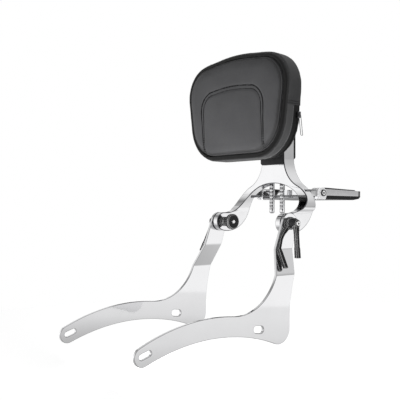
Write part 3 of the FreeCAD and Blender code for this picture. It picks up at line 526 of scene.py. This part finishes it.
# Rack strips. A black rubber strip along each rail, with a few low ribs that run its whole length and
# keep a load from sliding.
black_rubber = moulded("black rubber", (0.010, 0.010, 0.010), (0.022, 0.022, 0.022), 700.0, 0.50)
rib_count = 5
rib_rise = 0.0010
rib_foot = 0.0009
rib_top = 0.0005
rib_inset = 0.0015
rib_slope = 0.0010
rib_sunk = 0.0001
ray_start = 0.05
down = Vector((0.0, 0.0, -1.0))
for side in ("left", "right"):
    strip = finish_node("rack_strip_" + side, black_rubber)
    low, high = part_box("rack_strip_" + side)
    top = BVHTree.FromPolygons([strip.matrix_world @ v.co for v in strip.data.vertices],
                               [p.vertices for p in strip.data.polygons])
    stations = [(low[1] + rib_inset, 0.0), (low[1] + rib_inset + rib_slope, rib_rise),
                (high[1] - rib_inset - rib_slope, rib_rise), (high[1] - rib_inset, 0.0)]
    points = []
    faces = []
    for i in range(rib_count):
        x = low[0] + (high[0] - low[0]) * (i + 0.5) / rib_count
        first = len(points)
        for y, crest in stations:
            ground = top.ray_cast(Vector((x, y, high[2] + ray_start)), down)[0].z
            points += [(x - rib_foot, y, ground - rib_sunk), (x - rib_top, y, ground + crest),
                       (x + rib_top, y, ground + crest), (x + rib_foot, y, ground - rib_sunk)]
        for j in range(3):
            faces += between(first + 4 * j, first + 4 * (j + 1), 4)
        faces += [(first + 3, first + 2, first + 1, first), (first + 12, first + 13, first + 14, first + 15)]
    put_mesh("strip_ribs_" + side, points, faces, black_rubber, "rack")


# Cushion. Foam in a black grained vinyl cover. It starts as the plain solid, a little smaller, is
# blown up as cloth between its sewn lines, and then gets the creases of the arch and the edge seam,
# with painted shade along that seam.
front_seam = 0.052
roll_edge = front_seam - 0.004
zip_line = 0.090
start_scale = 0.993
voxel = 0.0048
hold_strength = 1.6
hold_reach = 0.006
back_hold = 0.003
cloth_steps = 20
crown_limit = 0.0035
arch_half = 0.0034
arch_foot_half = 0.0895
arch_foot_height = 0.331
crease_depth = 0.0021
crease_width = 0.0026
valley_depth = 0.0055
valley_width = 0.0050
roll_depth = 0.0065
roll_width = 0.028
shade_ahead = 0.002
shade_width = 0.0078
shade_strength = 1.35
foot_lean = 0.0060
foot_reach = 0.13
pad_low, pad_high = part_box("pad_cushion")
core_height = (pad_low[2] + pad_high[2]) / 2
back_face = pad_high[1]

cover, given, puts = new_group(
    "vinyl grain",
    [("Dark", "NodeSocketColor", None), ("Light", "NodeSocketColor", None),
     ("Grain size", "NodeSocketFloat", 700.0), ("Grain depth", "NodeSocketFloat", 0.5),
     ("Shade", "NodeSocketFloat", 0.0)],
    [("Colour", "NodeSocketColor"), ("Roughness", "NodeSocketFloat"), ("Normal", "NodeSocketVector")])
where = cover.nodes.new("ShaderNodeTexCoord").outputs["Object"]
pebbles = cover.nodes.new("ShaderNodeTexVoronoi")
pebbles.feature = "SMOOTH_F1"
pebbles.inputs["Smoothness"].default_value = 0.4
link(cover, where, pebbles.inputs["Vector"])
link(cover, given["Grain size"], pebbles.inputs["Scale"])
creases = noise(cover, where, 260.0, 6.0, 0.6)
wear = noise(cover, where, 11.0, 4.0, 0.55)
worn = blend_colours(cover, remap(cover, wear, 0.3, 0.7, 0.0, 1.0), given["Dark"], given["Light"])
# Shade mixes the colour towards black: painted shade where the cover dives into a seam.
link(cover, blend_colours(cover, given["Shade"], worn, (0.002, 0.002, 0.002)), puts["Colour"])
link(cover, remap(cover, creases, 0.3, 0.7, 0.48, 0.60), puts["Roughness"])
pebbled = math_node(cover, "ADD", pebbles.outputs["Distance"], math_node(cover, "MULTIPLY", creases, 0.35))
link(cover, bump(cover, pebbled, given["Grain depth"], 0.0003), puts["Normal"])


def vinyl(name, dark, light, grain_size, grain_depth):
    """Grained vinyl with a low soft shine."""
    material, shader, group = shaded(name, cover)
    shader.inputs["Specular IOR Level"].default_value = 0.30
    group.inputs["Dark"].default_value = dark + (1.0,)
    group.inputs["Light"].default_value = light + (1.0,)
    group.inputs["Grain size"].default_value = grain_size
    group.inputs["Grain depth"].default_value = grain_depth
    return material


def paint_seam_shade(material):
    """Paints shade on the cover where the mesh says that it dives into a sewn seam."""
    tree = material.node_tree
    seam = tree.nodes.new("ShaderNodeAttribute")
    seam.attribute_name = "seam"
    group = next(node for node in tree.nodes if node.type == "GROUP")
    link(tree, seam.outputs["Fac"], group.inputs["Shade"])


def surface_of(piece):
    """A piece's mesh as it is now, for casting rays at it."""
    corners = [v.co for v in piece.data.vertices]
    return BVHTree.FromPolygons(corners, [p.vertices for p in piece.data.polygons])


def wall_point(surface, angle, y, lift=0.0):
    """A point on the side wall, at an angle round the cushion's core from straight down."""
    way = Vector((math.sin(angle), 0.0, -math.cos(angle)))
    spot, normal = surface.ray_cast(Vector((0.0, y, core_height)), way)[:2]
    return spot + normal * lift, normal


def front_point(surface, x, z, lift=0.0):
    """A point on the front panel, straight behind a place in the front view."""
    spot, normal = surface.ray_cast(Vector((x, -1.0, z)), Vector((0.0, 1.0, 0.0)))[:2]
    return spot + normal * lift, normal


def turns(first, last, count):
    """Even steps from a first to a last value."""
    return [first + (last - first) * i / (count - 1) for i in range(count)]


def arch_path(offset):
    """The arch on the front panel as pairs, from its left foot over the top; the offset is outward
    and narrows towards the feet."""
    foot, low = arch_foot_half, arch_foot_height
    spread, top, corner, sag, kept_at_feet = 0.091, 0.4635, 0.036, 0.004, 0.4
    leg_top = top - sag - corner
    leg = turns(0.0, 1.0, 20)[:-1]
    pairs = []
    for share in leg:
        out = offset * (kept_at_feet + (1.0 - kept_at_feet) * share)
        pairs.append((-foot + share * (foot - spread) - out, low + share * (leg_top - low)))
    for side, first in ((-1, math.pi), (1, math.pi / 2)):
        for angle in turns(first, first - math.pi / 2, 14):
            reach = corner + offset
            pairs.append((side * (spread - corner) + reach * math.cos(angle),
                          leg_top + reach * math.sin(angle)))
        if side < 0:
            crown = turns(-spread + corner, spread - corner, 24)[1:-1]
            pairs += [(x, top + offset - sag * (x / (spread - corner)) ** 2) for x in crown]
    pairs += [(-x, z) for x, z in reversed(pairs[:len(leg)])]
    return pairs


def spaced(path, step):
    """The same path as points at an even step, each with its normal."""
    points = [path[0]]
    carried = 0.0
    for (a, normal), (b, _) in zip(path, path[1:]):
        run = (b - a).length
        at = step - carried
        while at <= run:
            points.append((a.lerp(b, at / run), normal))
            at += step
        carried = run - (at - step)
    return points


def apply_all(piece):
    """Turns a piece's modifiers into its mesh."""
    bpy.ops.object.select_all(action="DESELECT")
    piece.select_set(True)
    bpy.context.view_layer.objects.active = piece
    for modifier in list(piece.modifiers):
        bpy.ops.object.modifier_apply(modifier=modifier.name)


def near(points):
    """A search tree that finds the nearest of the points."""
    tree = kdtree.KDTree(len(points))
    for i, point in enumerate(points):
        tree.insert(point, i)
    tree.balance()
    return tree


panel_vinyl = vinyl("panel vinyl", (0.040, 0.040, 0.042), (0.052, 0.052, 0.054), 760.0, 0.35)
# The gusset vinyl is a darker copy of the panel vinyl: painted shade on the side wall.
gusset_vinyl_painted_shade = vinyl("gusset vinyl painted shade", (0.030, 0.030, 0.031), (0.042, 0.042, 0.043), 640.0, 0.45)
band_vinyl = vinyl("band vinyl", (0.048, 0.048, 0.049), (0.064, 0.064, 0.065), 640.0, 0.45)
for material in (panel_vinyl, gusset_vinyl_painted_shade):
    paint_seam_shade(material)

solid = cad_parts["pad_cushion"]
shell = solid.data.copy()
shell.transform(solid.matrix_world)
cushion = bpy.data.objects.new("cushion", shell)
bpy.context.collection.objects.link(cushion)
shell.materials.clear()
shell.materials.append(panel_vinyl)
shell.materials.append(gusset_vinyl_painted_shade)
middle = Vector((0.0, back_face, core_height))
for v in shell.vertices:
    v.co = middle + (v.co - middle) * start_scale
even = cushion.modifiers.new("even mesh", "REMESH")
even.mode = "VOXEL"
even.voxel_size = voxel
apply_all(cushion)

plain = surface_of(cushion)
whole_turn = turns(-math.pi, math.pi, 361)
sewn_points = [wall_point(plain, angle, front_seam)[0] for angle in whole_turn]
sewn_points += [wall_point(plain, angle, zip_line)[0] for angle in whole_turn]
sewn_points += [front_point(plain, x, z)[0] for x, z in arch_path(0.0)]
sewn_points = [tuple(p) for p in sewn_points]
sewn_tree = near(sewn_points)
sewn = cushion.vertex_groups.new(name="sewn")
for v in cushion.data.vertices:
    held = hold_strength * (1.0 - sewn_tree.find(v.co)[2] / hold_reach)
    if v.co.y > back_face - back_hold:
        held = 1.0
    if held > 0.0:
        sewn.add([v.index], min(1.0, held), "REPLACE")

start = [v.co.copy() for v in cushion.data.vertices]
cloth = cushion.modifiers.new("cover", "CLOTH")
cloth.settings.quality = 6
cloth.settings.mass = 0.25
cloth.settings.tension_stiffness = 28.0
cloth.settings.compression_stiffness = 28.0
cloth.settings.shear_stiffness = 12.0
cloth.settings.bending_stiffness = 1.5
cloth.settings.use_pressure = True
cloth.settings.uniform_pressure_force = 4.0
cloth.settings.vertex_group_mass = "sewn"
cloth.settings.effector_weights.gravity = 0.0
cloth.point_cache.frame_start = 1
cloth.point_cache.frame_end = cloth_steps
for step in range(1, cloth_steps + 1):
    bpy.context.scene.frame_set(step)
apply_all(cushion)
bpy.context.scene.frame_set(1)
for v, before in zip(cushion.data.vertices, start):
    move = v.co - before
    if move.length > crown_limit:
        v.co = before + move * (crown_limit / move.length)

soften = cushion.modifiers.new("even out", "SMOOTH")
soften.factor = 0.5
soften.iterations = 4
finer = cushion.modifiers.new("finer", "SUBSURF")
finer.levels = 1
finer.render_levels = 1
apply_all(cushion)

blown = surface_of(cushion)
creased = [pair for offset in (-arch_half, arch_half) for pair in arch_path(offset)]
creased += [(x, arch_foot_height) for x in turns(-arch_foot_half, arch_foot_half, 60)]
crease = near([front_point(blown, x, z)[0] for x, z in creased])
valley = near([wall_point(blown, angle, roll_edge)[0] for angle in whole_turn])
seam_line = near([wall_point(blown, angle, front_seam - shade_ahead)[0] for angle in whole_turn])
normals = [v.normal.copy() for v in cushion.data.vertices]
seam_painted_shade = cushion.data.attributes.new("seam", "FLOAT", "POINT")
for v, normal, shade in zip(cushion.data.vertices, normals, seam_painted_shade.data):
    inward = valley.find(v.co)[2]
    sink = valley_depth * math.exp(-(inward / valley_width) ** 2)
    roll = 0.0
    if v.co.y < roll_edge:
        sink += crease_depth * math.exp(-(crease.find(v.co)[2] / crease_width) ** 2)
        roll = roll_depth * max(0.0, 1.0 - inward / roll_width) ** 2
        lean = max(0.0, 1.0 - (v.co.z - pad_low[2]) / foot_reach) ** 1.5
        roll += foot_lean * lean * min(1.0, inward / roll_width)
    # Painted shade along the front seam, strongest at the seam line.
    shade.value = min(1.0, shade_strength * math.exp(-(seam_line.find(v.co)[2] / shade_width) ** 2))
    v.co = v.co - normal * sink + Vector((0.0, roll, 0.0))
# From the roll edge back the cover takes the darker gusset vinyl, which paints shade into the edge valley.
for polygon in cushion.data.polygons:
    polygon.use_smooth = True
    if polygon.center.y > roll_edge:
        polygon.material_index = 1
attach(cushion, "pad")
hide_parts("pad_cushion")


# Piping, gusset and stitches. A fine piping runs round the front seam; the gusset is a plain panel
# over the top that ends in a stitched hem on each side, above the band that borders the zip.
hem_height = 0.4165
hem_overlap = 0.02
side_reach = 0.152
band_front = front_seam + 0.0022
band_rear = 0.0775
band_lift = 0.0007
panel_front = front_seam + 0.0020
panel_rear = 0.0965
panel_lift = 0.0016
stitch_lift = 0.0017
piping_radius = 0.0013
piping_lift = 0.0004
crease_radius = 0.0014
crease_lift = 0.0003
arch_stitch_lift = 0.0002
foot_radius = 0.0009
foot_inset = 0.0005
band_stitch_inset = 0.0025
band_stitch_lift = 0.0008
seam_stitch_inset = 0.0052
hem_turn = math.pi / 2 - math.asin((core_height - hem_height) / side_reach)
skin = surface_of(cushion)
thread = vinyl("thread", (0.150, 0.150, 0.152), (0.220, 0.220, 0.222), 2600.0, 0.8)
dark_thread = vinyl("dark thread", (0.004, 0.004, 0.004), (0.009, 0.009, 0.009), 2600.0, 0.8)
crease_shade = vinyl("seam shadow", (0.002, 0.002, 0.002), (0.005, 0.005, 0.005), 900.0, 0.2)
crease_shade.node_tree.nodes["Principled BSDF"].inputs["Specular IOR Level"].default_value = 0.05


def sewn_piece(name, points, faces, material):
    """A smooth mesh that rides on the pad and takes its finish."""
    piece = put_mesh(name, points, faces, material, "pad")
    piece.data.shade_smooth()
    return piece


def tube(name, path, radius, material, closed=False, flat=1.0, sides=8):
    """A cord along a path of points with normals, round or flattened on the cover."""
    points = []
    faces = []
    count = len(path)
    for i, (point, normal) in enumerate(path):
        ahead = path[(i + 1) % count if closed else min(i + 1, count - 1)][0]
        back = path[i - 1 if closed else max(i - 1, 0)][0]
        across = (ahead - back).cross(normal).normalized() * radius
        out = normal * radius * flat
        for k in range(sides):
            angle = 2 * math.pi * k / sides
            points.append(point + across * math.cos(angle) + out * math.sin(angle))
    for i in range(count if closed else count - 1):
        faces += between(i * sides, (i + 1) % count * sides, sides)
    if not closed:
        faces += [tuple(range(sides)), tuple(reversed(range((count - 1) * sides, count * sides)))]
    return sewn_piece(name, points, faces, material)


def stitches(name, path, material=thread, pitch=0.0036, length=0.0026, radius=0.00035):
    """A row of single stitches, each a short rounded thread lying on the cover."""
    points = []
    faces = []
    row = spaced(path, pitch)
    for (point, normal), (ahead, _) in zip(row, row[1:]):
        along = (ahead - point).normalized()
        across = along.cross(normal).normalized()
        first = len(points)
        for share, size in ((0.0, 0.4), (0.2, 1.0), (0.8, 1.0), (1.0, 0.4)):
            centre = point + along * length * share
            for k in range(6):
                angle = math.pi * k / 3
                points.append(centre + (across * math.cos(angle) + normal * math.sin(angle)) * radius * size)
        for ring in range(3):
            faces += between(first + 6 * ring, first + 6 * (ring + 1), 6)
        faces += [tuple(range(first, first + 6)), tuple(reversed(range(first + 18, first + 24)))]
    return sewn_piece(name, points, faces, material)


def wall_strip(name, first, last, front, rear, lift, material, columns=150, rows=12):
    """A flat strip sewn on the side wall, between two turns and two places fore and aft, with its
    edges turned down."""
    hem_turns = 0.004
    hem = 0.0006
    angles = [(first, -0.4), (first, 0.6), (first + hem_turns, 1.0)]
    angles += [(angle, 1.0) for angle in turns(first + 3 * hem_turns, last - 3 * hem_turns, columns)]
    angles += [(last - hem_turns, 1.0), (last, 0.6), (last, -0.4)]
    places = [(front, -0.4), (front, 0.6), (front + hem, 1.0)]
    places += [(y, 1.0) for y in turns(front + 3 * hem, rear - 3 * hem, rows)]
    places += [(rear - hem, 1.0), (rear, 0.6), (rear, -0.4)]
    points = [wall_point(skin, angle, y, lift * min(high, tall))[0]
              for angle, high in angles for y, tall in places]
    wide = len(places)
    faces = [(i * wide + k, i * wide + k + 1, (i + 1) * wide + k + 1, (i + 1) * wide + k)
             for i in range(len(angles) - 1) for k in range(wide - 1)]
    return sewn_piece(name, points, faces, material)


tube("front_piping", [wall_point(skin, angle, front_seam, piping_lift) for angle in whole_turn[:-1]],
     piping_radius, gusset_vinyl_painted_shade, closed=True)
# Flat near-black strips in the arch and foot creases are painted shadow.
tube("arch_crease_shadow", [front_point(skin, x, z, crease_lift) for x, z in arch_path(arch_half)],
     crease_radius, crease_shade, flat=0.4)
stitches("arch_stitches", [front_point(skin, x, z, arch_stitch_lift) for x, z in arch_path(-arch_half)],
         dark_thread, length=0.0034, radius=0.0009)
foot_half = arch_foot_half - foot_inset
# The foot crease gets a painted shadow strip too.
tube("foot_crease_shadow", [front_point(skin, x, arch_foot_height) for x in turns(-foot_half, foot_half, 60)],
     foot_radius, crease_shade, flat=0.35)
wall_strip("gusset_band", -hem_turn - hem_overlap, hem_turn + hem_overlap, band_front, band_rear, band_lift,
           band_vinyl)
wall_strip("gusset_panel", hem_turn, 2 * math.pi - hem_turn, panel_front, panel_rear, panel_lift,
           gusset_vinyl_painted_shade)
stitches("band_stitches", [wall_point(skin, angle, band_rear - band_stitch_inset, band_stitch_lift)
                           for angle in turns(-hem_turn, hem_turn, 240)])
stitches("seam_stitches", [wall_point(skin, angle, front_seam + seam_stitch_inset, stitch_lift)
                           for angle in turns(hem_turn, 2 * math.pi - hem_turn, 300)])
hem_line = turns(front_seam + 0.004, panel_rear - 0.002, 30)
for side, start, way in (("left", hem_turn, 1), ("right", 2 * math.pi - hem_turn, -1)):
    for row, rise in (("low", 0.018), ("high", 0.048)):
        hem = [wall_point(skin, start + way * rise, y, stitch_lift) for y in hem_line]
        stitches("hem_stitches_" + side + "_" + row, hem, dark_thread, radius=0.0006)


# Zip. Black woven tape with moulded teeth runs round the pocket's mouth from hem to hem. The metal
# slider and its wire pull come from the frame.
tape_front = band_rear - 0.0006
tape_lift = 0.0003
slider_clearance = 0.10
tooth_pitch = 0.0024
tooth_long, tooth_wide, tooth_rise = 0.0015, 0.0028, 0.0009
tooth_step = 0.55
tooth_foot = 0.0002
zip_metal = plated("zip metal", (0.22, 0.22, 0.23), (0.14, 0.14, 0.15), 0.02, 0.25)
tape_vinyl = vinyl("zip tape", (0.002, 0.002, 0.002), (0.004, 0.004, 0.004), 1500.0, 0.7)
wall_strip("zip_tape", -hem_turn - hem_overlap, hem_turn + hem_overlap, tape_front, panel_rear, tape_lift,
           tape_vinyl)
teeth_points = []
teeth_faces = []
teeth_line = [wall_point(skin, angle, zip_line, tape_lift)
              for angle in turns(-hem_turn, hem_turn - slider_clearance, 400)]
teeth_path = spaced(teeth_line, tooth_pitch / 2)
for i, ((point, normal), (ahead, _)) in enumerate(zip(teeth_path, teeth_path[1:])):
    along = (ahead - point).normalized() * tooth_long / 2
    across = along.cross(normal).normalized() * tooth_wide / 2
    centre = point + across * (tooth_step if i % 2 else -tooth_step)
    first = len(teeth_points)
    for up, narrow in ((normal * -tooth_foot, 1.0), (normal * tooth_rise, 0.7)):
        teeth_points += [centre + up + (along * a + across * b) * narrow
                         for a, b in ((-1, -1), (1, -1), (1, 1), (-1, 1))]
    teeth_faces += [(first + 4, first + 5, first + 6, first + 7)]
    teeth_faces += between(first, first + 4, 4)
sewn_piece("zip_teeth", teeth_points, teeth_faces, tape_vinyl)
for node in ("zip_slider", "zip_pull"):
    finish_node(node, zip_metal, bevel=0.0002)
